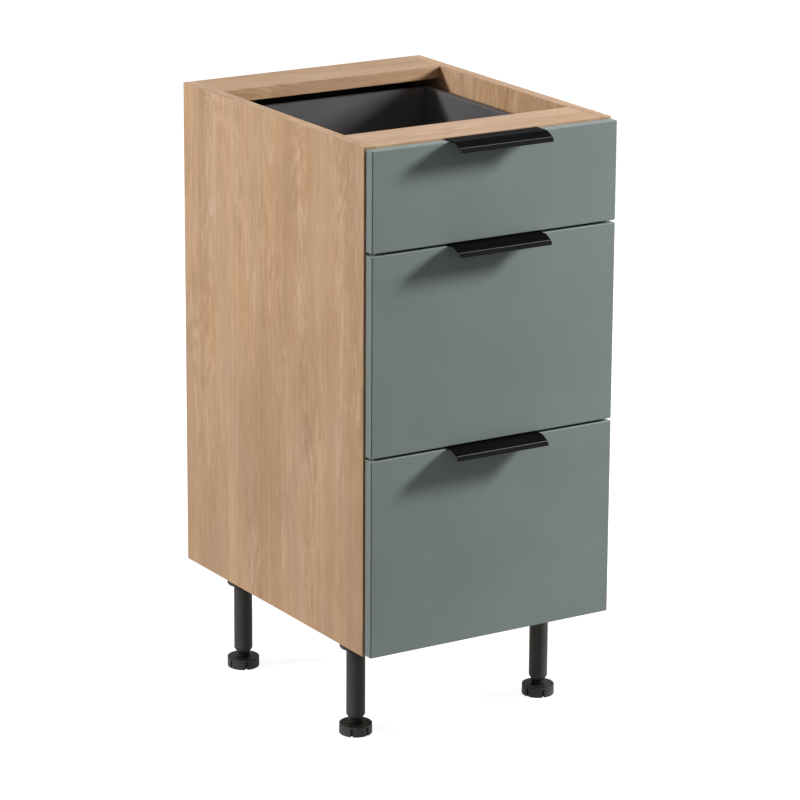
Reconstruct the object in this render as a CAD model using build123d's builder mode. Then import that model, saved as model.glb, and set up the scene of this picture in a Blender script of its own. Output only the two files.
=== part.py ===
"""Drawer base cabinet: board carcass, three steel drawers on runners, edge-pull handles, adjustable legs.

Millimetres. X runs left to right as seen from the front, Y from front to back, Z up from the floor.
The origin is on the floor, in the middle of the cabinet's overall width and depth.
"""

import math
import os

from build123d import *

os.makedirs("parts", exist_ok=True)

# Overall sizes
cabinet_width = 400.0
carcass_height = 720.0
carcass_depth = 500.0
leg_height = 150.0

# Carcass boards
board_thickness = 18.0
board_edge_radius = 0.6
rail_width = 80.0
back_thickness = 3.0
back_rebate_width = 9.0
back_recess = 2.5
back_clearance = 0.2
back_lip_height = 6.0
back_screw_inset = 40.0
back_screw_spacing = 140.0

# Cam fittings and dowels that join the boards
cam_radius = 7.5
cam_depth = 12.5
cam_setback = 34.0
cam_inset = 30.0
bottom_dowel_inset = 158.0
rail_fitting_inset = 24.0
bolt_radius = 3.0
bolt_head_radius = 3.6
bolt_head_length = 4.0
bolt_bore_radius = 4.0
bolt_grip = 11.0
dowel_radius = 4.0
dowel_length = 30.0
dowel_grip = 12.0
fitting_clearance = 0.1

# Pan-head screws of the back, the runners and the leg sockets
screw_radius = 1.75
screw_length = 14.5
screw_head_radius = 3.5
screw_head_height = 1.6
screw_clearance = 0.1
screw_tip_gap = 4.0
recess_length = 4.0
recess_width = 0.8
recess_depth = 0.9

# Drawer fronts
front_thickness = 16.0
front_side_reveal = 2.0
front_bottom_reveal = 2.0
front_top_reveal = 2.5
top_front_height = 141.0
front_edge_radius = 1.5

# Handles: one bent sheet over the front's upper edge
handle_length = 150.0
handle_projection = 27.0
handle_sheet = 1.5
handle_plate = 10.0
handle_drop = 6.4
handle_lip = 6.0
handle_lip_lean = 3.0
handle_flange = 24.0
handle_bend_radius = 2.0
handle_end_chamfer = 0.3
handle_clearance = 0.5
handle_top_gap = 2.0
handle_screw_end_inset = 11.0
handle_screw_rise = 7.5
handle_screw_radius = 1.75
handle_screw_rim = 0.15

# Bumper pads on the sides' front edges
bumper_radius = 4.0
bumper_clearance = 0.3
bumper_drop = 12.0

# Drawer boxes
drawer_back_clearance = 68.5
drawer_floor_gap = 8.0
drawer_headroom = 12.0
tall_side_drop = 70.0
side_width = 9.5
side_sheet = 1.0
side_fold_radius = 2.0
base_thickness = 16.0
base_flange = 12.0
base_clearance = 0.2
drawer_back_flange = 8.0

# Brackets inside the steel sides, screwed to the fronts
bracket_thickness = 2.0
bracket_end = 8.0
bracket_tongue = 40.0
bracket_tongue_gap = 1.5
bracket_clearance = 0.25
front_screw_radius = 1.5
front_screw_head_radius = 2.3
front_screw_head_height = 1.4
front_screw_spacing = 26.0

# Runners: a cabinet rail, a middle slide and a drawer slide on each side
runner_space = 13.0
runner_height = 45.0
runner_sheet = 1.2
runner_clearance = 0.5
runner_tip_gap = 2.5
runner_setback = 2.0
runner_rise = 40.0
runner_screw_inset = 37.0

# Legs
leg_side_inset = 45.0
leg_front_inset = 92.0
leg_back_inset = 86.0
leg_radius = 13.5
leg_wall = 3.0
leg_rim = 0.4
leg_taper = 4.2
socket_wall = 9.6
socket_rim_radius = 3.0
socket_height = 22.0
socket_plate_thickness = 4.0
socket_plate_corner = 8.0
socket_plate_margin = 8.0
socket_screw_gap = 5.0
foot_radius = 23.5
foot_height = 15.5
foot_edge_radius = 1.0
foot_neck = 9.0
foot_slot_count = 6
foot_slot_width = 3.6
foot_slot_depth = 5.0
foot_slot_height = 12.5
stem_engagement = 40.0
stem_clearance = 0.3
thread_pitch = 3.0
thread_depth = 0.8

# How far each slotted foot is turned on its thread, in degrees
foot_turns = {"front_left": 44.7, "front_right": 17.6, "back_left": 11.8, "back_right": 30.0}

# Places across the depth, from the handles' lips to the back edges of the sides
front_standoff = handle_sheet + handle_clearance
overall_depth = handle_projection + front_thickness + front_standoff + carcass_depth
carcass_back = overall_depth / 2
carcass_front = carcass_back - carcass_depth
carcass_middle = (carcass_front + carcass_back) / 2
board_back = carcass_back - back_recess - back_thickness
front_back = carcass_front - front_standoff
front_face = front_back - front_thickness
drawer_end = board_back - drawer_back_clearance

# Places across the width, from the middle outwards
inner_half = cabinet_width / 2 - board_thickness
side_outer = inner_half - runner_space
side_inner = side_outer - side_width
side_middle = (side_outer + side_inner) / 2
front_width = cabinet_width - 2 * front_side_reveal

# Heights, from the floor up
carcass_bottom = leg_height
carcass_top = leg_height + carcass_height
bottom_axis = carcass_bottom + board_thickness / 2
rail_axis = carcass_top - board_thickness / 2
front_spacing = handle_sheet + handle_top_gap
front_gaps = front_bottom_reveal + 2 * front_spacing + front_top_reveal
tall_front_height = (carcass_height - front_gaps - top_front_height) / 2
bottom_front_z = carcass_bottom + front_bottom_reveal
middle_front_z = bottom_front_z + tall_front_height + front_spacing
top_front_z = middle_front_z + tall_front_height + front_spacing
tall_side_height = tall_front_height - tall_side_drop
drawer_rise = board_thickness + drawer_floor_gap - front_bottom_reveal
tube_bottom = foot_height + foot_neck
tube_top = carcass_bottom - socket_plate_thickness

# Each drawer: underside of its front, height of its front, top of its steel sides
drawers = {
    "top": (top_front_z, top_front_height, carcass_top - board_thickness - drawer_headroom),
    "middle": (middle_front_z, tall_front_height, middle_front_z + tall_side_height),
    "bottom": (bottom_front_z, tall_front_height, bottom_front_z + tall_side_height),
}

# Horizontal boards: height of the middle, front edge, back edge, cam places, dowel places
front_rail_back = carcass_front + rail_width
rear_rail_front = board_back - rail_width
boards = {
    "bottom_panel": (
        bottom_axis,
        carcass_front,
        board_back,
        (carcass_front + cam_inset, board_back - cam_inset),
        (carcass_front + bottom_dowel_inset, board_back - bottom_dowel_inset),
    ),
    "front_top_rail": (
        rail_axis,
        carcass_front,
        front_rail_back,
        (carcass_front + rail_fitting_inset,),
        (front_rail_back - rail_fitting_inset,),
    ),
    "rear_top_rail": (
        rail_axis,
        rear_rail_front,
        carcass_back,
        (board_back - rail_fitting_inset,),
        (rear_rail_front + rail_fitting_inset,),
    ),
}
cam_places = [(y, z) for z, _, _, cam_ys, _ in boards.values() for y in cam_ys]
dowel_places = [(y, z) for z, _, _, _, dowel_ys in boards.values() for y in dowel_ys]

# Legs: the axes, and how far the four screws of a socket stand from its axis
leg_x = cabinet_width / 2 - leg_side_inset
leg_places = {
    "front_left": (-leg_x, carcass_front + leg_front_inset),
    "front_right": (leg_x, carcass_front + leg_front_inset),
    "back_left": (-leg_x, carcass_back - leg_back_inset),
    "back_right": (leg_x, carcass_back - leg_back_inset),
}
socket_bore = leg_radius + fitting_clearance
socket_radius = socket_bore + socket_wall
socket_screw_offset = (socket_radius + screw_head_radius + socket_screw_gap) / math.sqrt(2)

# Runners: the axes, the ends and the three screws along each cabinet rail
runner_axes = {name: front_z + drawer_rise + runner_rise for name, (front_z, _, _) in drawers.items()}
runner_front = carcass_front + runner_setback
runner_back = drawer_end - runner_setback
runner_length = runner_back - runner_front
runner_screws_y = (
    runner_front + runner_screw_inset,
    (runner_front + runner_back) / 2,
    runner_back - runner_screw_inset,
)

# Primitives that stand on their place, or hang below it
UP = (Align.CENTER, Align.CENTER, Align.MIN)
DOWN = (Align.CENTER, Align.CENTER, Align.MAX)


def save(builder, node):
    """Labels the finished piece and writes its file."""
    builder.part.label = node
    export_step(builder.part, f"parts/{node}.step")


def screw_pilot(radius, length):
    """A blind hole down local -Z for a screw's shank."""
    Cylinder(radius + screw_clearance, length + screw_clearance, align=DOWN, mode=Mode.SUBTRACT)


def cross_recess(surface):
    """The driver's cross in a head whose outer face is at this height on local Z."""
    with Locations((0, 0, surface)):
        Box(recess_length, recess_width, 2 * recess_depth, mode=Mode.SUBTRACT)
        Box(recess_width, recess_length, 2 * recess_depth, mode=Mode.SUBTRACT)


def runner_seats(sign, axis_z):
    """Where the screws of one cabinet rail seat, with local +Z out of their heads."""
    seat_x = sign * (inner_half - runner_sheet)
    return [Location((seat_x, y, axis_z), (0, -90 * sign, 0)) for y in runner_screws_y]


def socket_seats(x, y):
    """Where the four screws of one leg socket seat, with local +Z out of their heads."""
    return [
        Location((x + i * socket_screw_offset, y + j * socket_screw_offset, tube_top), (180, 0, 0))
        for i in (-1, 1)
        for j in (-1, 1)
    ]


def back_seats(places):
    """Where screws seat in the back panel, with local +Z out of their heads."""
    return [Location((x, board_back + back_thickness, z), (-90, 0, 0)) for x, z in places]


# Rebate for the back: let into the sides and the rear rail, and stopped below their top faces
rebate_depth = back_recess + back_thickness
rebate_middle = board_back + rebate_depth / 2
rebate_top = carcass_top - back_lip_height
rail_rebate_height = board_thickness - back_lip_height

# Screw places of the carcass: in each side panel, in the boards between them, under the legs
back_screw_x = inner_half + back_rebate_width / 2
back_screw_heights = (
    carcass_bottom + back_screw_inset,
    (carcass_bottom + carcass_top) / 2,
    carcass_top - back_screw_inset,
)
side_back_seats = {
    sign: back_seats([(sign * back_screw_x, z) for z in back_screw_heights]) for sign in (-1, 1)
}
rail_screw_z = rebate_top - rail_rebate_height / 2
board_back_seats = {
    "bottom_panel": back_seats([(sign * back_screw_spacing / 2, bottom_axis) for sign in (-1, 1)]),
    "rear_top_rail": back_seats([(sign * back_screw_spacing / 2, rail_screw_z) for sign in (-1, 1)]),
}
leg_seats = [seat for x, y in leg_places.values() for seat in socket_seats(x, y)]
rail_seats = {
    sign: [seat for z in runner_axes.values() for seat in runner_seats(sign, z)] for sign in (-1, 1)
}
all_back_seats = [
    seat for group in (side_back_seats, board_back_seats) for seats in group.values() for seat in seats
]

# Side panels: oak-effect boards with a stopped rebate for the back and blind holes on the inside
for side, sign in (("left", -1), ("right", 1)):
    with BuildPart() as side_panel:
        with Locations((sign * (inner_half + board_thickness / 2), carcass_middle, carcass_bottom)):
            Box(board_thickness, carcass_depth, carcass_height, align=UP)
        fillet(side_panel.edges(), board_edge_radius)
        rebate_x = sign * (inner_half + back_rebate_width / 2)
        rebate_height = rebate_top - carcass_bottom
        with Locations((rebate_x, rebate_middle, carcass_bottom)):
            Box(back_rebate_width, rebate_depth, rebate_height, align=UP, mode=Mode.SUBTRACT)
        with Locations(*[(sign * (inner_half + bolt_grip / 2), y, z) for y, z in cam_places]):
            Cylinder(bolt_radius + fitting_clearance, bolt_grip, rotation=(0, 90, 0), mode=Mode.SUBTRACT)
        with Locations(*[(sign * (inner_half + dowel_grip / 2), y, z) for y, z in dowel_places]):
            Cylinder(dowel_radius + fitting_clearance, dowel_grip, rotation=(0, 90, 0), mode=Mode.SUBTRACT)
        with Locations(*rail_seats[sign], *side_back_seats[sign], *leg_seats):
            screw_pilot(screw_radius, screw_length)
    save(side_panel, f"{side}_side_panel")

# Horizontal boards between the sides, bored for bolts and dowels in their ends and for cams from below.
# The one that reaches past the back's face has the back's rebate under its lip.
for node, (axis_z, front_y, back_y, cam_ys, dowel_ys) in boards.items():
    underside = axis_z - board_thickness / 2
    with BuildPart() as board:
        with Locations((0, (front_y + back_y) / 2, axis_z)):
            Box(2 * inner_half, back_y - front_y, board_thickness)
        fillet(board.edges().filter_by(Axis.X), board_edge_radius)
        if back_y > board_back:
            with Locations((0, rebate_middle, underside)):
                Box(2 * inner_half, rebate_depth, rail_rebate_height, align=UP, mode=Mode.SUBTRACT)
        peg_bore = dowel_radius + fitting_clearance
        peg_reach = dowel_length - dowel_grip
        for sign in (-1, 1):
            with Locations(*[(sign * (inner_half - cam_setback / 2), y, axis_z) for y in cam_ys]):
                Cylinder(bolt_bore_radius, cam_setback, rotation=(0, 90, 0), mode=Mode.SUBTRACT)
            with Locations(*[(sign * (inner_half - cam_setback), y, underside) for y in cam_ys]):
                Cylinder(cam_radius, cam_depth + fitting_clearance, align=UP, mode=Mode.SUBTRACT)
            with Locations(*[(sign * (inner_half - peg_reach / 2), y, axis_z) for y in dowel_ys]):
                Cylinder(peg_bore, peg_reach, rotation=(0, 90, 0), mode=Mode.SUBTRACT)
        with Locations(*board_back_seats.get(node, []), *leg_seats):
            screw_pilot(screw_radius, screw_length)
    save(board, node)

# Back panel: thin dark hardboard let into the rebates of the sides and the rear rail
with BuildPart() as back_panel:
    back_half = inner_half + back_rebate_width - back_clearance
    with Locations((0, board_back + back_thickness / 2, carcass_bottom)):
        Box(2 * back_half, back_thickness, rebate_height - back_clearance, align=UP)
    with Locations(*all_back_seats):
        screw_pilot(screw_radius, screw_length)
save(back_panel, "back_panel")

# Cam locks: drums with an open side that grips the bolt's head
with BuildPart() as cam_locks:
    drum_radius = cam_radius - fitting_clearance
    slot_half = bolt_head_radius + fitting_clearance
    for sign in (-1, 1):
        drum_x = sign * (inner_half - cam_setback)
        with Locations(*[(drum_x, y, z - board_thickness / 2) for y, z in cam_places]):
            Cylinder(drum_radius, cam_depth, align=UP)
            cross_recess(0)
            with Locations((sign * drum_radius / 2, 0, board_thickness / 2 - slot_half)):
                Box(2 * drum_radius, 2 * slot_half, cam_depth, align=UP, mode=Mode.SUBTRACT)
save(cam_locks, "cam_locks")

# Cam bolts: screwed into the sides, with their heads in the cam locks
with BuildPart() as cam_bolts:
    bolt_length = bolt_grip + cam_setback - 2 * fitting_clearance
    for sign in (-1, 1):
        bolt_x = sign * (inner_half + (bolt_grip - cam_setback) / 2)
        with Locations(*[(bolt_x, y, z) for y, z in cam_places]):
            Cylinder(bolt_radius, bolt_length, rotation=(0, 90, 0))
        head_x = sign * (inner_half - cam_setback + fitting_clearance + bolt_head_length / 2)
        with Locations(*[(head_x, y, z) for y, z in cam_places]):
            Cylinder(bolt_head_radius, bolt_head_length, rotation=(0, 90, 0))
save(cam_bolts, "cam_bolts")

# Dowels: beech pegs beside the cam fittings
with BuildPart() as dowels:
    for sign in (-1, 1):
        dowel_x = sign * (inner_half + dowel_grip - dowel_length / 2)
        with Locations(*[(dowel_x, y, z) for y, z in dowel_places]):
            Cylinder(dowel_radius, dowel_length - 2 * fitting_clearance, rotation=(0, 90, 0))
save(dowels, "dowels")

# Pan-head screws of the back panel, the cabinet rails and the leg sockets
with BuildPart() as carcass_screws:
    with Locations(*rail_seats[-1], *rail_seats[1], *leg_seats, *all_back_seats):
        Cylinder(screw_head_radius, screw_head_height, align=UP)
        Cylinder(screw_radius, screw_length, align=DOWN)
        cross_recess(screw_head_height)
save(carcass_screws, "carcass_screws")

# Bumper pads: soft discs that the closed fronts rest against
with BuildPart() as bumpers:
    bumper_x = inner_half + board_thickness / 2
    bumper_heights = [front_z + height - bumper_drop for front_z, height, _ in drawers.values()]
    bumper_seats = [(sign * bumper_x, z) for sign in (-1, 1) for z in bumper_heights]
    with Locations(*[Location((x, carcass_front, z), (90, 0, 0)) for x, z in bumper_seats]):
        Cylinder(bumper_radius, front_standoff - bumper_clearance, align=UP)
save(bumpers, "bumpers")

# Layers of each runner, measured from the side panel's inner face towards the drawer
middle_web = runner_sheet + screw_head_height + runner_clearance
drawer_lip = middle_web + runner_sheet + runner_clearance
drawer_web = runner_space - runner_sheet
runner_tip = runner_space - runner_tip_gap
rail_half = runner_height / 2
middle_half = rail_half - runner_sheet - runner_clearance
slide_half = middle_half - runner_sheet - runner_clearance


def runner_channels(axis_z, near, far, open_near, open_far, half_height):
    """Left and right channel sections: from near to far, hollowed between open_near and open_far."""
    for sign in (-1, 1):
        with Locations((sign * (inner_half - (near + far) / 2), axis_z)):
            Rectangle(far - near, 2 * half_height)
        with Locations((sign * (inner_half - (open_near + open_far) / 2), axis_z)):
            Rectangle(open_far - open_near, 2 * (half_height - runner_sheet), mode=Mode.SUBTRACT)


for name, axis_z in runner_axes.items():
    # Cabinet rails, screwed to the sides
    with BuildPart() as cabinet_rails:
        with BuildSketch(Plane.XZ.offset(-runner_front)):
            runner_channels(axis_z, 0, runner_tip, runner_sheet, runner_tip, rail_half)
        extrude(amount=-runner_length)
        with Locations(*runner_seats(-1, axis_z), *runner_seats(1, axis_z)):
            screw_pilot(screw_radius, screw_length)
    save(cabinet_rails, f"{name}_runner_cabinet_rails")

    # Middle slides, which carry the drawer slides out at half the drawer's speed
    with BuildPart() as middle_slides:
        with BuildSketch(Plane.XZ.offset(-runner_front)):
            hollow_near = middle_web + runner_sheet
            runner_channels(axis_z, middle_web, runner_tip, hollow_near, runner_tip, middle_half)
        extrude(amount=-runner_length)
    save(middle_slides, f"{name}_runner_middle_slides")

    # Drawer slides, fixed to the steel sides
    with BuildPart() as drawer_slides:
        with BuildSketch(Plane.XZ.offset(-runner_front)):
            runner_channels(axis_z, drawer_lip, runner_space, drawer_lip, drawer_web, slide_half)
        extrude(amount=-runner_length)
    save(drawer_slides, f"{name}_runner_drawer_slides")

# Handle section: flange behind the front, plate over its edge, slope and a lip that leans out
lip_front = front_face - handle_projection
slope_front = lip_front + handle_lip_lean
plate_front = front_face - handle_plate
flange_back = front_back + handle_sheet
handle_screw_x = handle_length / 2 - handle_screw_end_inset
handle_screw_length = handle_sheet + front_thickness - screw_tip_gap
handle_screw_head_height = handle_sheet - handle_screw_rim
handle_screw_head_radius = handle_screw_radius + handle_screw_head_height

# Brackets fill the hollow of the steel sides, less their clearance
hollow_width = side_width - 2 * side_sheet
bracket_width = hollow_width - 2 * bracket_clearance
bracket_height = front_screw_spacing + 2 * bracket_end
tongue_height = front_screw_spacing - 2 * (front_screw_head_radius + bracket_tongue_gap)
front_screw_length = bracket_thickness + front_thickness - screw_tip_gap

for name, (front_z, front_height, side_top) in drawers.items():
    front_top = front_z + front_height
    plate_top = front_top + handle_sheet
    flange_bottom = plate_top - handle_flange
    box_z = front_z + drawer_rise
    base_z = box_z + side_sheet
    back_z = base_z + base_thickness
    bracket_middle = (box_z + side_top) / 2
    handle_screw_z = flange_bottom + handle_screw_rise
    handle_seats = [
        Location((sign * handle_screw_x, flange_back, handle_screw_z), (-90, 0, 0)) for sign in (-1, 1)
    ]
    bracket_seats = [
        Location((i * side_middle, front_back + bracket_thickness, bracket_middle + j), (-90, 0, 0))
        for i in (-1, 1)
        for j in (-front_screw_spacing / 2, front_screw_spacing / 2)
    ]

    # Front: lacquered board with softened edges, drilled from behind
    with BuildPart() as front:
        with Locations((0, (front_face + front_back) / 2, front_z)):
            Box(front_width, front_thickness, front_height, align=UP)
        fillet(front.edges(), front_edge_radius)
        with Locations(*handle_seats):
            screw_pilot(handle_screw_radius, handle_screw_length)
        with Locations(*bracket_seats):
            screw_pilot(front_screw_radius, front_screw_length)
    save(front, f"{name}_drawer_front")

    # Handle: bent aluminium sheet hooked over the front and screwed on from behind
    with BuildPart() as handle:
        slope_bottom = plate_top - handle_drop
        lip_bottom = slope_bottom - handle_lip
        with BuildSketch(Plane.YZ.offset(-handle_length / 2)):
            with BuildLine():
                FilletPolyline(
                    (flange_back, flange_bottom),
                    (flange_back, plate_top),
                    (plate_front, plate_top),
                    (slope_front, slope_bottom),
                    (lip_front, lip_bottom),
                    radius=handle_bend_radius,
                )
                offset(amount=handle_sheet, side=Side.LEFT)
            make_face()
        extrude(amount=handle_length)
        chamfer(handle.faces().filter_by(Axis.X).edges(), handle_end_chamfer)
        with Locations(*handle_seats):
            CounterSinkHole(
                handle_screw_radius + screw_clearance,
                handle_screw_head_radius + screw_clearance,
                depth=handle_sheet,
                counter_sink_angle=90,
            )
    save(handle, f"{name}_drawer_handle")

    # Handle screws: countersunk, flush with the flange
    with BuildPart() as handle_screws:
        with Locations(*handle_seats):
            Cone(handle_screw_radius, handle_screw_head_radius, handle_screw_head_height, align=DOWN)
            Cylinder(handle_screw_radius, handle_screw_length, align=DOWN)
            cross_recess(0)
    save(handle_screws, f"{name}_drawer_handle_screws")

    # Steel sides: sheet folded down on itself, with a flange under the base
    for side, sign in (("left", -1), ("right", 1)):
        with BuildPart() as steel_side:
            with BuildSketch(Plane.XZ.offset(-front_back)):
                with Locations((sign * side_middle, (box_z + side_top) / 2)):
                    fold = Rectangle(side_width, side_top - box_z)
                fillet(fold.vertices().group_by(Axis.Y)[-1], side_fold_radius)
                with Locations((sign * side_middle, (box_z + side_top - side_sheet) / 2)):
                    Rectangle(hollow_width, side_top - side_sheet - box_z, mode=Mode.SUBTRACT)
                with Locations((sign * (side_inner - base_flange / 2), box_z + side_sheet / 2)):
                    Rectangle(base_flange, side_sheet)
            extrude(amount=front_back - drawer_end)
        save(steel_side, f"{name}_drawer_side_{side}")

    # Base board, lying on the flanges of the sides
    with BuildPart() as base:
        with Locations((0, (front_back + drawer_end) / 2, base_z)):
            Box(2 * (side_inner - base_clearance), drawer_end - front_back, base_thickness, align=UP)
    save(base, f"{name}_drawer_base")

    # Steel back: a folded tray standing on the base between the sides
    with BuildPart() as steel_back:
        back_width = 2 * (side_inner - base_clearance)
        with Locations((0, drawer_end - drawer_back_flange / 2, back_z)):
            Box(back_width, drawer_back_flange, side_top - back_z, align=UP)
        with Locations((0, drawer_end - drawer_back_flange / 2 + side_sheet, back_z)):
            tray_height = side_top - back_z - side_sheet
            Box(back_width - 2 * side_sheet, drawer_back_flange, tray_height, align=UP, mode=Mode.SUBTRACT)
    save(steel_back, f"{name}_drawer_back")

    # Front brackets: plates with a tongue inside the hollow sides, screwed to the front
    with BuildPart() as brackets:
        for sign in (-1, 1):
            with Locations((sign * side_middle, front_back + bracket_thickness / 2, bracket_middle)):
                Box(bracket_width, bracket_thickness, bracket_height)
            with Locations((sign * side_middle, front_back + bracket_tongue / 2, bracket_middle)):
                Box(bracket_width, bracket_tongue, tongue_height)
        with Locations(*bracket_seats):
            screw_pilot(front_screw_radius, front_screw_length)
    save(brackets, f"{name}_drawer_front_brackets")

    # Front screws, through the brackets into the front
    with BuildPart() as front_screws:
        with Locations(*bracket_seats):
            Cylinder(front_screw_head_radius, front_screw_head_height, align=UP)
            Cylinder(front_screw_radius, front_screw_length, align=DOWN)
    save(front_screws, f"{name}_drawer_front_screws")

# Threaded stem of a foot, which runs in the bore of its tube
stem_radius = leg_radius - leg_wall - stem_clearance
stem_root = stem_radius - thread_depth
thread_count = int((foot_neck + stem_engagement) // thread_pitch)
stem_top = foot_height + thread_count * thread_pitch

for place, (x, y) in leg_places.items():
    # Socket: a plate under the bottom panel with a collar for the tube
    with BuildPart() as socket:
        plate_width = 2 * (socket_screw_offset + socket_plate_margin)
        with BuildSketch(Plane.XY.offset(tube_top)):
            with Locations((x, y)):
                RectangleRounded(plate_width, plate_width, socket_plate_corner)
        extrude(amount=socket_plate_thickness)
        collar_height = socket_height - socket_plate_thickness
        with Locations((x, y, tube_top)):
            Cylinder(socket_radius, collar_height, align=DOWN)
        fillet(socket.edges().filter_by(GeomType.CIRCLE).sort_by(Axis.Z)[0], socket_rim_radius)
        with Locations((x, y, tube_top)):
            Cylinder(socket_bore, collar_height, align=DOWN, mode=Mode.SUBTRACT)
        with Locations(*socket_seats(x, y)):
            screw_pilot(screw_radius, screw_length)
    save(socket, f"leg_socket_{place}")

    # Tube: pushed into the socket, tapered at its lower end
    with BuildPart() as tube:
        with Locations((x, y, tube_bottom)):
            Cylinder(leg_radius, tube_top - tube_bottom, align=UP)
        lower_rim = tube.edges().filter_by(GeomType.CIRCLE).sort_by(Axis.Z)[0]
        outside = tube.faces().filter_by(GeomType.CYLINDER)[0]
        chamfer(lower_rim, leg_taper, leg_wall - leg_rim, reference=outside)
        with Locations((x, y, tube_bottom)):
            Cylinder(leg_radius - leg_wall, tube_top - tube_bottom, align=UP, mode=Mode.SUBTRACT)
    save(tube, f"leg_tube_{place}")

    # Foot: a slotted disc on a threaded stem, turned to level the cabinet
    with BuildPart() as foot:
        with Locations((x, y, 0)):
            Cylinder(foot_radius, foot_height, align=UP)
        fillet(foot.edges().filter_by(GeomType.CIRCLE), foot_edge_radius)
        with Locations(Location((x, y, 0), (0, 0, foot_turns[place]))):
            with PolarLocations(foot_radius, foot_slot_count):
                Box(2 * foot_slot_depth, foot_slot_width, 2 * foot_slot_height, mode=Mode.SUBTRACT)
        with BuildSketch(Plane.XZ.offset(-y)):
            with BuildLine():
                ridges = [
                    (x + radius, foot_height + (i + share) * thread_pitch)
                    for i in range(thread_count)
                    for share, radius in ((0, stem_root), (0.5, stem_radius))
                ]
                Polyline((x, foot_height), *ridges, (x + stem_root, stem_top), (x, stem_top), close=True)
            make_face()
        revolve(axis=Axis((x, y, 0), (0, 0, 1)))
    save(foot, f"leg_foot_{place}")
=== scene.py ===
import math

import bpy
import numpy as np
from mathutils import Matrix, Vector


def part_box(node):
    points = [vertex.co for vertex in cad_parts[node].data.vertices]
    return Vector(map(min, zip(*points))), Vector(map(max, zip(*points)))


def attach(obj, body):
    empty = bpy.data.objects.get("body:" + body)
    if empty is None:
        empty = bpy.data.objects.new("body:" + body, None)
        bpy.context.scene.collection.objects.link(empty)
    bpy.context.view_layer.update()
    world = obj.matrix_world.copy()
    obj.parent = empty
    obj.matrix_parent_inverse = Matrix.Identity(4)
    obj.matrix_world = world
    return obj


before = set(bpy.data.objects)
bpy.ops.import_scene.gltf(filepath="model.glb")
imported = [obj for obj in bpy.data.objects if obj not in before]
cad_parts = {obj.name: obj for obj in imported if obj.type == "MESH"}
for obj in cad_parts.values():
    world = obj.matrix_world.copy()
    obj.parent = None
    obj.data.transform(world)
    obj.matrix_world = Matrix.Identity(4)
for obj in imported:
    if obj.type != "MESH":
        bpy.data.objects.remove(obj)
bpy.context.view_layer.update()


# Carcass boards: two side panels, a bottom panel and two top rails, sawn from 18 mm chipboard
# with an oak-effect melamine skin. The grain stands upright on the sides and runs across on
# the rest. Cams, bolts and dowels pull them together; the back edges stay bare chipboard.
OAK_DARK = (0.346, 0.199, 0.0945, 1.0)
OAK_MIDDLE = (0.466, 0.292, 0.164, 1.0)
OAK_LIGHT = (0.607, 0.407, 0.259, 1.0)
OAK_GOLDEN = (1.020, 1.000, 0.955, 1.0)
OAK_GREYED = (0.995, 0.992, 1.050, 1.0)
OAK_PORE = (0.285, 0.172, 0.098, 1.0)
OAK_KNOT = (0.300, 0.180, 0.100, 1.0)
CHIP_DARK = (0.300, 0.205, 0.120, 1.0)
CHIP_LIGHT = (0.590, 0.455, 0.305, 1.0)
CHIPS_PER_METRE = 420.0
# Each part of the figure: its size across, across and along the grain, then the noise's detail,
# roughness and distortion
OAK_FIGURE = {
    "bands": ((0.042, 0.042, 0.95), 3.0, 0.55, 0.2),
    "clouds": ((0.100, 0.100, 0.24), 2.0, 0.50, 0.4),
    "streaks": ((0.0050, 0.0050, 0.42), 4.0, 0.62, 0.2),
    "fibres": ((0.0030, 0.0030, 0.045), 2.0, 0.55, 0.3),
    "rays": ((0.0040, 0.0040, 0.70), 1.0),
    "zones": ((0.080, 0.080, 0.36), 1.5),
    "dapples": ((0.018, 0.018, 0.060), 3.0, 0.60, 1.1),
    "rings": ((0.090, 0.090, 0.55), 1.8, 0.45, 0.6),
    "drifts": ((0.060, 0.060, 0.24), 2.0),
    "pores": ((0.0013, 0.0013, 0.042), 2.0),
}
OAK_WEIGHTS = {
    "bands": 0.50,
    "clouds": 0.33,
    "streaks": 0.28,
    "fibres": 0.20,
    "rays": 0.045,
    "dapples": 0.56,
    "rings": 0.075,
}
OAK_BASE_TONE = -0.165
OAK_DARK_TONE = 0.26
OAK_MIDDLE_TONE = 0.50
OAK_LIGHT_TONE = 0.74
RING_COUNT = 24.0
RING_BEND = 0.10
KNOTS_PER_METRE = (7.5, 7.5, 3.1)
PORE_SHARE = 0.30
SIDE_CUT = (2.37, 2.23, -2.89)
# Painted light on faces that look up or down on the sides and on the front rail; painted shade
# on the rear rail's front band.
SIDE_TOP_PAINTED_LIGHT = 0.055
FRONT_RAIL_PAINTED_LIGHT = 0.11
REAR_BAND_PAINTED_SHADE = -0.07
SQUARE_ON = 0.7
NOISE_SPAN = (0.3, 0.7)


def node_adder(tree):
    """A function that adds one more node to a tree.

    It takes the node's type, its inputs by name or number and its options; an input is wired
    if it is a socket, else set.
    """

    def add(kind, inputs, **options):
        node = tree.nodes.new("ShaderNode" + kind)
        for option, value in options.items():
            setattr(node, option, value)
        for socket, value in inputs.items():
            if isinstance(value, bpy.types.NodeSocket):
                tree.links.new(value, node.inputs[socket])
            else:
                node.inputs[socket].default_value = value
        return node

    return add


def new_finish(name, **sockets):
    """A new material, its shader and its node adder. Underscores stand for spaces in sockets."""
    material = bpy.data.materials.new(name)
    material.use_nodes = True
    tree = material.node_tree
    shader = tree.nodes["Principled BSDF"]
    for socket, value in sockets.items():
        shader.inputs[socket.replace("_", " ")].default_value = value
    return material, shader, node_adder(tree)


def wire(source, target):
    """Joins two sockets of the same material."""
    source.id_data.links.new(source, target)


def places(add):
    """The point's place on the object, in metres in the shared frame."""
    return add("TexCoord", {}).outputs["Object"]


def facings(add):
    """The surface's direction at the point, as its X, Y and Z shares."""
    normal = add("NewGeometry", {}).outputs["Normal"]
    return add("SeparateXYZ", {"Vector": normal}).outputs


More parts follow.
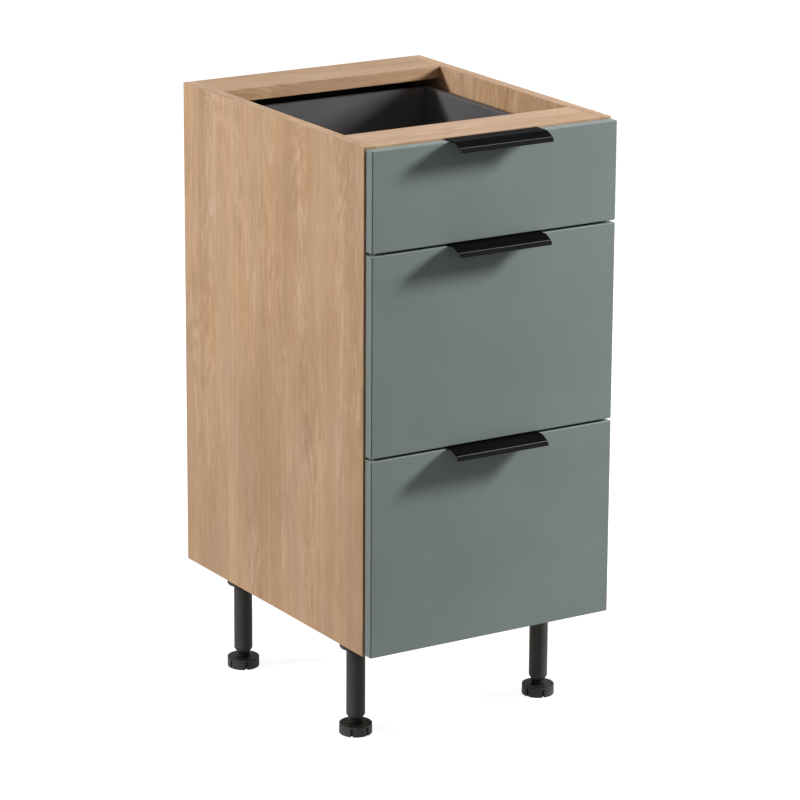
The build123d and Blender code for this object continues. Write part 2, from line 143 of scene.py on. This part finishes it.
def cells(add, point, size, detail=2.0, roughness=0.5, distortion=0.0):
    """Noise between 0 and 1 whose lumps are about size = (x, y, z) metres large."""
    scaled = add("Mapping", {"Vector": point, "Scale": [1.0 / length for length in size]})
    return add(
        "TexNoise",
        {
            "Vector": scaled.outputs["Vector"],
            "Scale": 1.0,
            "Detail": detail,
            "Roughness": roughness,
            "Distortion": distortion,
        },
    ).outputs["Fac"]


def number(add, operation, a, b, c=0.0):
    """One sum on numbers."""
    return add("Math", {0: a, 1: b, 2: c}, operation=operation).outputs[0]


def between(add, value, low, high, to_low=0.0, to_high=1.0):
    """Carries low..high to to_low..to_high in a smooth step that stops at both ends."""
    inputs = {"Value": value, 1: low, 2: high, 3: to_low, 4: to_high}
    return add("MapRange", inputs, interpolation_type="SMOOTHSTEP").outputs["Result"]


def shade(add, factor, first, second, blend_type="MIX"):
    """Mixes two colours by a number between 0 and 1."""
    inputs = {"Factor": factor, 6: first, 7: second}
    return add("Mix", inputs, data_type="RGBA", blend_type=blend_type).outputs[2]


def relief(add, shader, height, depth, strength=0.5):
    """Raises the shaded surface by height times depth, in metres."""
    bump = add("Bump", {"Height": height, "Distance": depth, "Strength": strength})
    wire(bump.outputs["Normal"], shader.inputs["Normal"])


def dress(material, *nodes):
    """Gives CAD nodes their finish."""
    for node in nodes:
        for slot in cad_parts[node].material_slots:
            slot.material = material


def oak_melamine(name, upright, painted_light_and_shade=0.0, sawn=True):
    """Oak effect: a tone of long noises under golden and greyed drifts, with pores and knots.

    The tone is the weighted sum of the figure's parts, plus the board's painted lift: painted
    light where it is above 0, painted shade where it is below. Dapples and rings show most in
    some zones. The rings are the sine of a slow noise, so its level lines nest in arches, and
    they bend round the knots, whose nearness is added to the noise. On upright boards the grain
    follows Y where the face looks up or down, and the tone there gets painted light, a little
    paler. Where sawn, a face that looks backwards shows the chips of the core.
    """
    material, shader, add = new_finish(name, Specular_IOR_Level=0.28)
    point = places(add)
    axes = add("SeparateXYZ", {"Vector": point}).outputs
    facing = facings(add)
    if upright:
        lying = add("CombineXYZ", {"X": axes["X"], "Y": axes["Z"], "Z": axes["Y"]}).outputs[0]
        level = number(add, "ABSOLUTE", facing["Z"], 0.0)
        level = number(add, "GREATER_THAN", level, SQUARE_ON)
        turned = add("Mix", {"Factor": level, 4: point, 5: lying}, data_type="VECTOR").outputs[1]
        grain = add("VectorMath", {0: turned, 1: SIDE_CUT}, operation="ADD").outputs[0]
    else:
        grain = add("CombineXYZ", {"X": axes["Y"], "Y": axes["Z"], "Z": axes["X"]}).outputs[0]

    figure = {part: cells(add, grain, *noise) for part, noise in OAK_FIGURE.items()}
    streaks, fibres = figure["streaks"], figure["fibres"]
    figure["rays"] = between(add, figure["rays"], 0.56, 0.70)
    zones = between(add, figure["zones"], 0.42, 0.60)
    dapples = number(add, "SUBTRACT", figure["dapples"], 0.5)
    zoned = number(add, "MULTIPLY_ADD", zones, 0.65, 0.35)
    figure["dapples"] = number(add, "MULTIPLY", dapples, zoned)
    spread = add("Mapping", {"Vector": grain, "Scale": KNOTS_PER_METRE}).outputs["Vector"]
    knots = add("TexVoronoi", {"Vector": spread, "Scale": 1.0}).outputs["Distance"]
    slow = number(add, "ADD", figure["rings"], between(add, knots, 0.0, 0.30, RING_BEND, 0.0))
    turns = number(add, "MULTIPLY", slow, 2 * math.pi * RING_COUNT)
    feathered = number(add, "MULTIPLY", zones, between(add, fibres, 0.30, 0.65, 0.25, 1.0))
    figure["rings"] = number(add, "MULTIPLY", number(add, "SINE", turns, 0.0), feathered)
    tone = OAK_BASE_TONE + painted_light_and_shade
    for part, weight in OAK_WEIGHTS.items():
        tone = number(add, "MULTIPLY_ADD", figure[part], weight, tone)
    # Painted light: faces that look up or down get a paler tone.
    if upright:
        tone = number(add, "MULTIPLY_ADD", level, SIDE_TOP_PAINTED_LIGHT, tone)
    ramp = add("ValToRGB", {"Fac": tone})
    dark, light = ramp.color_ramp.elements
    dark.position, dark.color = OAK_DARK_TONE, OAK_DARK
    light.position, light.color = OAK_LIGHT_TONE, OAK_LIGHT
    ramp.color_ramp.elements.new(OAK_MIDDLE_TONE).color = OAK_MIDDLE

    golden = between(add, figure["drifts"], 0.36, 0.64)
    tint = shade(add, golden, OAK_GREYED, OAK_GOLDEN)
    colour = shade(add, 1.0, ramp.outputs["Color"], tint, "MULTIPLY")
    pores = between(add, figure["pores"], 0.56, 0.72)
    colour = shade(add, number(add, "MULTIPLY", pores, PORE_SHARE), colour, OAK_PORE)
    eyes = number(add, "MULTIPLY", between(add, knots, 0.02, 0.06, 0.60, 0.0), fibres)
    colour = shade(add, eyes, colour, OAK_KNOT)
    if sawn:
        chips = add("TexVoronoi", {"Vector": point, "Scale": CHIPS_PER_METRE}).outputs["Color"]
        chips = add("SeparateColor", {"Color": chips}).outputs["Red"]
        bare = number(add, "GREATER_THAN", facing["Y"], SQUARE_ON)
        colour = shade(add, bare, colour, shade(add, chips, CHIP_DARK, CHIP_LIGHT))
    wire(colour, shader.inputs["Base Color"])
    wire(between(add, streaks, *NOISE_SPAN, 0.46, 0.58), shader.inputs["Roughness"])
    relief(add, shader, number(add, "SUBTRACT", streaks, pores), 0.00004)
    return material


side_oak = oak_melamine("oak_board_upright", upright=True)
rail_oak = oak_melamine("oak_board_across", upright=False)
# The front rail's oak is painted lighter: painted light.
painted_light_oak = oak_melamine("oak_board_painted_light_front_rail", upright=False, painted_light_and_shade=FRONT_RAIL_PAINTED_LIGHT)
dress(side_oak, "left_side_panel", "right_side_panel")
dress(rail_oak, "bottom_panel", "rear_top_rail")
dress(painted_light_oak, "front_top_rail")


# Edge bands: strips of the same oak effect, ironed over the sawn edges that show. Each wraps
# the edge's rounded corners, reaches 0.8 mm over both faces and stands proud by the glue line.
BAND_REACH = 0.0008
BAND_PROUD = 0.00003
BAND_SUNK = 0.0002
BAND_ROUND = 0.0006
BAND_ARC_POINTS = 6
BAND_PATH_POINTS = 25
BAND_CREASE = math.radians(35.0)


def band_outline(thickness, offset):
    """Half outline of a board's edge: along one face, then a quarter circle to the edge.

    The circle has the edge's own radius plus the offset and is centred one radius inside the
    board. First number across the board from its middle, second out of its edge.
    """
    turn = np.linspace(0.0, math.pi / 2, BAND_ARC_POINTS)
    half = thickness / 2 - BAND_ROUND
    radius = BAND_ROUND + offset
    corner = np.column_stack([half + radius * np.cos(turn), radius * np.sin(turn) - BAND_ROUND])
    return np.vstack([[half + radius, -BAND_REACH], corner])


def edge_band(name, material, start, end, out, thickness):
    """A closed strip round a board's edge, carried straight from start to end.

    Its outline runs over the edge just proud of the board and back just inside it. Point (i, j)
    is path_i + across * outline_j,0 + out * outline_j,1, with across = along x out.
    """
    start, end, out = np.array(start), np.array(end), np.array(out)
    along = (end - start) / np.linalg.norm(end - start)
    across = np.cross(along, out)
    over = band_outline(thickness, BAND_PROUD)
    under = band_outline(thickness, -BAND_SUNK)
    mirror = np.array((-1.0, 1.0))
    outline = np.vstack([over, over[::-1] * mirror, under * mirror, under[::-1]])
    path = start + np.linspace(0.0, 1.0, BAND_PATH_POINTS)[:, None] * (end - start)
    offsets = outline[:, :1] * across + outline[:, 1:] * out
    points = (path[:, None, :] + offsets[None, :, :]).reshape(-1, 3)
    rows, columns = len(path), len(outline)
    i, j = np.meshgrid(np.arange(rows - 1), np.arange(columns), indexing="ij")
    here, beside = (i * columns + j).ravel(), (i * columns + (j + 1) % columns).ravel()
    quads = np.column_stack([here, beside, beside + columns, here + columns]).tolist()
    first_cap = np.arange(columns)[::-1].tolist()
    last_cap = ((rows - 1) * columns + np.arange(columns)).tolist()
    mesh = bpy.data.meshes.new(name)
    mesh.from_pydata(points.tolist(), [], [*quads, first_cap, last_cap])
    mesh.shade_smooth()
    mesh.set_sharp_from_angle(angle=BAND_CREASE)
    mesh.materials.append(material)
    band = bpy.data.objects.new(name, mesh)
    bpy.context.scene.collection.objects.link(band)
    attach(band, "carcass")


# The front rail's rear band has the same painted light as its board.
painted_light_band = oak_melamine(
    "oak_band_painted_light_front_rail", upright=False, painted_light_and_shade=FRONT_RAIL_PAINTED_LIGHT, sawn=False
)
# The rear rail's front band is painted darker: painted shade.
painted_shade_oak = oak_melamine("oak_band_painted_shade_rear_rail", upright=False, painted_light_and_shade=REAR_BAND_PAINTED_SHADE)
for side in ("left", "right"):
    low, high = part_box(f"{side}_side_panel")
    middle, width = (low.x + high.x) / 2, high.x - low.x
    front = (middle, low.y, low.z + BAND_REACH), (middle, low.y, high.z - BAND_REACH)
    top = (middle, low.y + BAND_REACH, high.z), (middle, high.y - BAND_REACH, high.z)
    edge_band(f"{side}_side_front_band", side_oak, *front, (0.0, -1.0, 0.0), width)
    edge_band(f"{side}_side_top_band", side_oak, *top, (0.0, 0.0, 1.0), width)
for board, edge, oak in (
    ("bottom_panel", "front", rail_oak),
    ("front_top_rail", "front", painted_light_oak),
    ("front_top_rail", "rear", painted_light_band),
    ("rear_top_rail", "front", painted_shade_oak),
):
    low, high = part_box(board)
    middle, width = (low.z + high.z) / 2, high.z - low.z
    y, out = (low.y, -1.0) if edge == "front" else (high.y, 1.0)
    ends = (low.x, y, middle), (high.x, y, middle)
    edge_band(f"{board}_{edge}_band", oak, *ends, (0.0, out, 0.0), width)


# Back panel: thin dark hardboard, pressed wood fibre, screwed into the rebates of the sides and
# the rear rail and against the bottom.
HARDBOARD_DARK = (0.020, 0.017, 0.015, 1.0)
HARDBOARD_LIGHT = (0.052, 0.044, 0.038, 1.0)
HARDBOARD_FIBRES = ((0.0030, 0.0030, 0.0012), 4.0, 0.65, 1.2)
HARDBOARD_CLOUDS = (0.060, 0.060, 0.060)
HARDBOARD_CLOUDY = 0.35


def mottled(name, colours, fine, coarse, cloudy, rough, depth, strength=0.5, **sockets):
    """A finish of two mingled colours, with its shader, its node adder and its colour.

    The tone is a coarse noise times cloudy plus a fine noise times the rest. The fine noise
    also sets the roughness between the two numbers of rough, and raises the surface by depth.
    """
    material, shader, add = new_finish(name, **sockets)
    point = places(add)
    grains = cells(add, point, *fine)
    clouds = cells(add, point, coarse)
    grainy = number(add, "MULTIPLY", grains, 1.0 - cloudy)
    tone = number(add, "MULTIPLY_ADD", clouds, cloudy, grainy)
    colour = shade(add, between(add, tone, *NOISE_SPAN), *colours)
    wire(colour, shader.inputs["Base Color"])
    wire(between(add, grains, *NOISE_SPAN, *rough), shader.inputs["Roughness"])
    relief(add, shader, grains, depth, strength)
    return material, shader, add, colour


hardboard, *_ = mottled(
    "dark_hardboard",
    (HARDBOARD_DARK, HARDBOARD_LIGHT),
    HARDBOARD_FIBRES,
    HARDBOARD_CLOUDS,
    HARDBOARD_CLOUDY,
    rough=(0.50, 0.68),
    depth=0.00008,
    strength=0.6,
    Specular_IOR_Level=0.25,
)
dress(hardboard, "back_panel")


# Zinc-plated steel: cam locks and bolts that draw the boards together, and the pan-head screws
# of the back, runners and sockets. The plating is clouded and lightly scratched.
ZINC_DARK = (0.430, 0.440, 0.455, 1.0)
ZINC_LIGHT = (0.640, 0.650, 0.660, 1.0)
ZINC_CLOUDS = ((0.0040, 0.0040, 0.0040), 3.0, 0.6)
ZINC_SCRATCHES = (0.0006, 0.0120, 0.0006)

zinc, shader, add = new_finish("zinc_steel", Metallic=1.0)
point = places(add)
plating = between(add, cells(add, point, *ZINC_CLOUDS), *NOISE_SPAN)
scratches = cells(add, point, ZINC_SCRATCHES)
wire(shade(add, plating, ZINC_DARK, ZINC_LIGHT), shader.inputs["Base Color"])
wire(between(add, scratches, *NOISE_SPAN, 0.30, 0.46), shader.inputs["Roughness"])
relief(add, shader, scratches, 0.00001, 0.4)
dress(zinc, "cam_locks", "cam_bolts", "carcass_screws")


# Dowels: turned beech pegs glued into the ends of the horizontal boards and pushed into the
# sides, so the boards can't turn on their bolts.
BEECH = (0.560, 0.390, 0.245, 1.0)
BEECH_FLECK = (0.400, 0.250, 0.140, 1.0)
BEECH_FLECK_SIZE = (0.0040, 0.0006, 0.0006)

beech, shader, add = new_finish("beech", Roughness=0.62, Specular_IOR_Level=0.25)
flecks = between(add, cells(add, places(add), BEECH_FLECK_SIZE), 0.52, 0.68)
wire(shade(add, flecks, BEECH, BEECH_FLECK), shader.inputs["Base Color"])
relief(add, shader, flecks, -0.00005)
dress(beech, "dowels")


# Bumpers: clear soft pads stuck to the front edges of the sides, where the fronts close on
# them. Moulded from polyurethane, slightly milky.
BUMPER_CLEAR = (0.800, 0.815, 0.820, 1.0)
BUMPER_MILKY = (0.680, 0.700, 0.705, 1.0)
BUMPER_CLOUDS = (0.0015, 0.0015, 0.0015)

bumper_pad, shader, add = new_finish("soft_pad", Transmission_Weight=0.55, IOR=1.48)
milk = cells(add, places(add), BUMPER_CLOUDS)
wire(shade(add, milk, BUMPER_CLEAR, BUMPER_MILKY), shader.inputs["Base Color"])
wire(between(add, milk, *NOISE_SPAN, 0.30, 0.42), shader.inputs["Roughness"])
dress(bumper_pad, "bumpers")


# Runners: roll-formed zinc-plated rails, three to each side of a drawer. The outer rail is
# screwed to the side panel, the inner one hooks under the drawer's steel side.
RAIL_DARK = (0.400, 0.405, 0.415, 1.0)
RAIL_LIGHT = (0.560, 0.565, 0.575, 1.0)
RAIL_ROLLING = ((0.0008, 0.1500, 0.0008), 3.0, 0.6)
RAIL_FLAKES_PER_METRE = 160.0
RAIL_FLAKY = 0.45

rail_steel, shader, add = new_finish("runner_steel", Metallic=1.0)
point = places(add)
rolled = cells(add, point, *RAIL_ROLLING)
spangle = add("TexVoronoi", {"Vector": point, "Scale": RAIL_FLAKES_PER_METRE}).outputs["Color"]
flake = add("SeparateColor", {"Color": spangle}).outputs["Green"]
tone = number(add, "MULTIPLY", rolled, 1.0 - RAIL_FLAKY)
tone = number(add, "MULTIPLY_ADD", flake, RAIL_FLAKY, tone)
wire(shade(add, tone, RAIL_DARK, RAIL_LIGHT), shader.inputs["Base Color"])
wire(between(add, rolled, *NOISE_SPAN, 0.32, 0.48), shader.inputs["Roughness"])
relief(add, shader, rolled, 0.00001, 0.4)
for level in ("top", "middle", "bottom"):
    for member in ("cabinet_rails", "middle_slides", "drawer_slides"):
        dress(rail_steel, f"{level}_runner_{member}")


# Drawer boxes: folded steel sides and back with an anthracite powder coat, a grey melamine
# base between them, and zinc brackets inside the sides that carry the front on four screws.
COAT_DARK = (0.070, 0.067, 0.067, 1.0)
COAT_LIGHT = (0.106, 0.102, 0.102, 1.0)
COAT_GRAINS = ((0.0011, 0.0011, 0.0011), 3.0, 0.6)
COAT_CLOUDS = (0.080, 0.080, 0.080)
COAT_CLOUDY = 0.5
BASE_DARK = (0.180, 0.180, 0.184, 1.0)
BASE_LIGHT = (0.270, 0.270, 0.275, 1.0)
BASE_SPECKS = ((0.0018, 0.0018, 0.0018), 4.0, 0.7)
BASE_CLOUDS = (0.050, 0.050, 0.050)
BASE_CLOUDY = 0.35

powder_coat, *_ = mottled(
    "anthracite_steel",
    (COAT_DARK, COAT_LIGHT),
    COAT_GRAINS,
    COAT_CLOUDS,
    COAT_CLOUDY,
    rough=(0.46, 0.60),
    depth=0.00005,
    Specular_IOR_Level=0.30,
)
grey_board, *_ = mottled(
    "grey_board",
    (BASE_DARK, BASE_LIGHT),
    BASE_SPECKS,
    BASE_CLOUDS,
    BASE_CLOUDY,
    rough=(0.48, 0.60),
    depth=0.00003,
    Specular_IOR_Level=0.28,
)
for level in ("top", "middle", "bottom"):
    drawer = f"{level}_drawer"
    dress(powder_coat, f"{drawer}_side_left", f"{drawer}_side_right", f"{drawer}_back")
    dress(grey_board, f"{drawer}_base")
    dress(zinc, f"{drawer}_front_brackets", f"{drawer}_front_screws")


# Drawer fronts: 16 mm board with a sprayed matt sage lacquer that wraps all edges. The spray
# leaves a fine orange peel. The end faces get painted shade, a deeper sage, and the upright
# arrises a painted shadow line, a dark sage. Each front hangs on its drawer's brackets.
SAGE_DEEP = (0.225, 0.272, 0.254, 1.0)
SAGE_PALE = (0.249, 0.298, 0.279, 1.0)
SAGE_PAINTED_SHADE = (0.180, 0.215, 0.202, 1.0)
SAGE_PAINTED_ARRIS_SHADOW = (0.110, 0.132, 0.123, 1.0)
SAGE_PEEL = ((0.0016, 0.0016, 0.0016), 2.0, 0.45)
SAGE_DRIFT = (0.110, 0.110, 0.110)
SAGE_DRIFTING = 0.7
ARRIS_SPAN = (0.10, 0.30)
END_FACE_SPAN = (0.80, 0.95)

sage, shader, add, colour = mottled(
    "sage_lacquer",
    (SAGE_DEEP, SAGE_PALE),
    SAGE_PEEL,
    SAGE_DRIFT,
    SAGE_DRIFTING,
    rough=(0.44, 0.56),
    depth=0.00003,
    Specular_IOR_Level=0.22,
)
facing = facings(add)
sideways = number(add, "ABSOLUTE", facing["X"], 0.0)
forwards = number(add, "ABSOLUTE", facing["Y"], 0.0)
# Painted shade: the end faces get a deeper sage.
colour = shade(add, between(add, sideways, *END_FACE_SPAN), colour, SAGE_PAINTED_SHADE)
# Painted shadow line: the upright arrises get a dark sage.
rounded = between(add, sideways, *ARRIS_SPAN), between(add, forwards, *ARRIS_SPAN)
painted_arris_shadow = number(add, "MINIMUM", *rounded)
wire(shade(add, painted_arris_shadow, colour, SAGE_PAINTED_ARRIS_SHADOW), shader.inputs["Base Color"])
dress(sage, "top_drawer_front", "middle_drawer_front", "bottom_drawer_front")


# Handles: bent aluminium edge pulls, black anodised, hooked over the tops of the fronts and
# held from behind by two countersunk screws. The bend above the lip has a painted highlight,
# a lighter grey line.
ANODISED_DARK = (0.0085, 0.0085, 0.0088, 1.0)
ANODISED_LIGHT = (0.0145, 0.0145, 0.0150, 1.0)
ANODISED_PAINTED_HIGHLIGHT = (0.120, 0.120, 0.123, 1.0)
ANODISED_EDGE = (0.38, 0.38, 0.38, 1.0)
ANODISED_DRAWING = ((0.0600, 0.0005, 0.0005), 3.0, 0.6)
BEND_START = (-0.47, -0.56)
BEND_END = (-0.86, -0.78)
BEND_UPWARDS = 0.2

anodised, shader, add = new_finish(
    "black_aluminium", Metallic=0.6, Specular_IOR_Level=0.0, Specular_Tint=ANODISED_EDGE
)
drawn = cells(add, places(add), *ANODISED_DRAWING)
colour = shade(add, between(add, drawn, *NOISE_SPAN), ANODISED_DARK, ANODISED_LIGHT)
facing = facings(add)
# Painted highlight: the bend above the lip gets a lighter grey.
past_slope = between(add, facing["Y"], *BEND_START)
before_lip = between(add, facing["Y"], *BEND_END)
upwards = number(add, "GREATER_THAN", facing["Z"], BEND_UPWARDS)
painted_highlight = number(add, "MULTIPLY", number(add, "MULTIPLY", past_slope, before_lip), upwards)
wire(shade(add, painted_highlight, colour, ANODISED_PAINTED_HIGHLIGHT), shader.inputs["Base Color"])
wire(between(add, drawn, *NOISE_SPAN, 0.27, 0.37), shader.inputs["Roughness"])
relief(add, shader, drawn, 0.00001)
for level in ("top", "middle", "bottom"):
    dress(anodised, f"{level}_drawer_handle")
    dress(zinc, f"{level}_drawer_handle_screws")


# Legs: black moulded plastic. A socket with four screws under the bottom, a tube pushed into
# it, and a slotted foot that screws up and down in the tube to level the cabinet. The foot's
# upper side and stem get painted shade, a deeper black than its rim.
MOULDED_DARK = (0.048, 0.047, 0.045, 1.0)
MOULDED_LIGHT = (0.073, 0.071, 0.067, 1.0)
MOULDED_PAINTED_SHADE = (0.014, 0.014, 0.012, 1.0)
MOULDED_GLOSS = (0.25, 0.25, 0.25, 1.0)
MOULDED_SPARK = ((0.0009, 0.0009, 0.0009), 3.0, 0.6)
MOULDED_FLOW = (0.0200, 0.0200, 0.0500)
MOULDED_FLOWING = 0.55
RIM_SPAN = (0.0147, 0.0154)


def moulded_plastic(name):
    """Black plastic, cloudy where it flowed into the mould and fine-grained from the tool."""
    return mottled(
        name,
        (MOULDED_DARK, MOULDED_LIGHT),
        MOULDED_SPARK,
        MOULDED_FLOW,
        MOULDED_FLOWING,
        rough=(0.50, 0.66),
        depth=0.00004,
        Specular_IOR_Level=0.20,
        Specular_Tint=MOULDED_GLOSS,
    )


tube_plastic, *_ = moulded_plastic("black_plastic")
foot_plastic, shader, add, colour = moulded_plastic("black_plastic_foot")
# Painted shade: above the rim's height the foot is a deeper black.
height = add("SeparateXYZ", {"Vector": places(add)}).outputs["Z"]
painted_shade_above_rim = between(add, height, *RIM_SPAN)
wire(shade(add, painted_shade_above_rim, colour, MOULDED_PAINTED_SHADE), shader.inputs["Base Color"])
for corner in ("front_left", "front_right", "back_left", "back_right"):
    dress(tube_plastic, f"leg_socket_{corner}", f"leg_tube_{corner}")
    dress(foot_plastic, f"leg_foot_{corner}")


# Floor and surround: a plain pale studio floor and a white surround. Seen straight, in gloss
# or through clear pieces both are white, and the floor near the cabinet keeps its shadow. Other
# rays meet a quieter floor, with a glow under the cabinet that lights the legs, and a soft sky.
# Each quarter of the floor stays under its own foot.
FLOOR_HALF = 30.0
FLOOR_GLOW = 0.92
FLOOR_NEAR = 0.7
FLOOR_FAR = 2.0
FLOOR_SEEN = (0.30, 0.30, 0.30, 1.0)
FLOOR_BOUNCE = (0.20, 0.20, 0.20, 1.0)
UNDER_GLOW = 0.46
UNDER_NEAR = 0.20
UNDER_FAR = 0.60
WHITE = (1.0, 1.0, 1.0, 1.0)
SKY_LEVEL = 0.14
UNIT_SQUARE = np.array([[0, 0, 0], [1, 0, 0], [1, 1, 0], [0, 1, 0]])


def seen_directly(add):
    """1 for camera, gloss and transmission rays, else 0: the largest of the three flags."""
    path = add("LightPath", {}).outputs
    straight = number(add, "MAXIMUM", path["Is Camera Ray"], path["Is Glossy Ray"])
    return number(add, "MAXIMUM", straight, path["Is Transmission Ray"])


floor_finish, shader, add = new_finish("studio_floor")
distance = add("VectorMath", {0: places(add)}, operation="LENGTH").outputs["Value"]
glow = between(add, distance, FLOOR_NEAR, FLOOR_FAR, FLOOR_GLOW, 1.0)
white = add("Emission", {"Color": WHITE, "Strength": glow}).outputs[0]
lit = add("BsdfDiffuse", {"Color": FLOOR_SEEN}).outputs[0]
shown = add("AddShader", {0: white, 1: lit}).outputs[0]
under = between(add, distance, UNDER_NEAR, UNDER_FAR, UNDER_GLOW, 0.0)
under = add("Emission", {"Color": WHITE, "Strength": under}).outputs[0]
bounce = add("BsdfDiffuse", {"Color": FLOOR_BOUNCE}).outputs[0]
bounce = add("AddShader", {0: under, 1: bounce}).outputs[0]
choice = add("MixShader", {0: seen_directly(add), 1: bounce, 2: shown}).outputs[0]
wire(choice, floor_finish.node_tree.nodes["Material Output"].inputs["Surface"])
floor_finish.node_tree.nodes.remove(shader)

for corner in ("front_left", "front_right", "back_left", "back_right"):
    depth, side = corner.split("_")
    start = np.array([0.0 if side == "right" else -1.0, 0.0 if depth == "back" else -1.0, 0.0])
    corners = (start + UNIT_SQUARE) * FLOOR_HALF
    floor_mesh = bpy.data.meshes.new(f"studio_floor_{corner}")
    floor_mesh.from_pydata(corners.tolist(), [], [[0, 1, 2, 3]])
    floor_mesh.materials.append(floor_finish)
    floor = bpy.data.objects.new(f"studio_floor_{corner}", floor_mesh)
    bpy.context.scene.collection.objects.link(floor)
    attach(floor, f"foot_{corner}")

world = bpy.data.worlds.new("studio")
bpy.context.scene.world = world
world.use_nodes = True
add = node_adder(world.node_tree)
sky = add("Background", {"Color": WHITE, "Strength": SKY_LEVEL}).outputs[0]
white = add("Background", {"Color": WHITE}).outputs[0]
choice = add("MixShader", {0: seen_directly(add), 1: sky, 2: white}).outputs[0]
wire(choice, world.node_tree.nodes["World Output"].inputs["Surface"])


# Studio light: a tall softbox far round to the right rakes across the fronts, and a square one
# behind on the left lights the side panel.
def softbox(name, place, aim, width, height, power):
    """An area lamp at a place, turned to its aim."""
    lamp = bpy.data.lights.new(name, "AREA")
    lamp.shape = "RECTANGLE"
    lamp.size = width
    lamp.size_y = height
    lamp.energy = power
    holder = bpy.data.objects.new(name, lamp)
    holder.location = place
    holder.rotation_euler = (Vector(aim) - Vector(place)).to_track_quat("-Z", "Y").to_euler()
    bpy.context.scene.collection.objects.link(holder)


softbox(
    "right_softbox",
    place=(2.42, -1.06, 1.81),
    aim=(0.0, -0.20, 0.55),
    width=0.32,
    height=0.66,
    power=133.0,
)
softbox(
    "left_softbox",
    place=(-3.40, 1.20, 2.00),
    aim=(0.0, 0.00, 0.55),
    width=0.40,
    height=0.40,
    power=125.0,
)


# Camera: a long lens a little above the cabinet, round to its left, as in the photograph.
CAMERA_PLACE = (-2.8628, -4.6080, 2.0121)
CAMERA_AZIMUTH = -31.852
CAMERA_ELEVATION = 16.225
CAMERA_ROLL = 0.333
CAMERA_LENS = 177.1

camera_data = bpy.data.cameras.new("camera")
camera_data.lens = CAMERA_LENS
camera = bpy.data.objects.new("camera", camera_data)
camera.matrix_world = (
    Matrix.Translation(CAMERA_PLACE)
    @ Matrix.Rotation(math.radians(CAMERA_AZIMUTH), 4, "Z")
    @ Matrix.Rotation(math.radians(90.0 - CAMERA_ELEVATION), 4, "X")
    @ Matrix.Rotation(math.radians(CAMERA_ROLL), 4, "Z")
)
bpy.context.scene.collection.objects.link(camera)
bpy.context.scene.camera = camera
bpy.context.scene.view_settings.view_transform = "Standard"
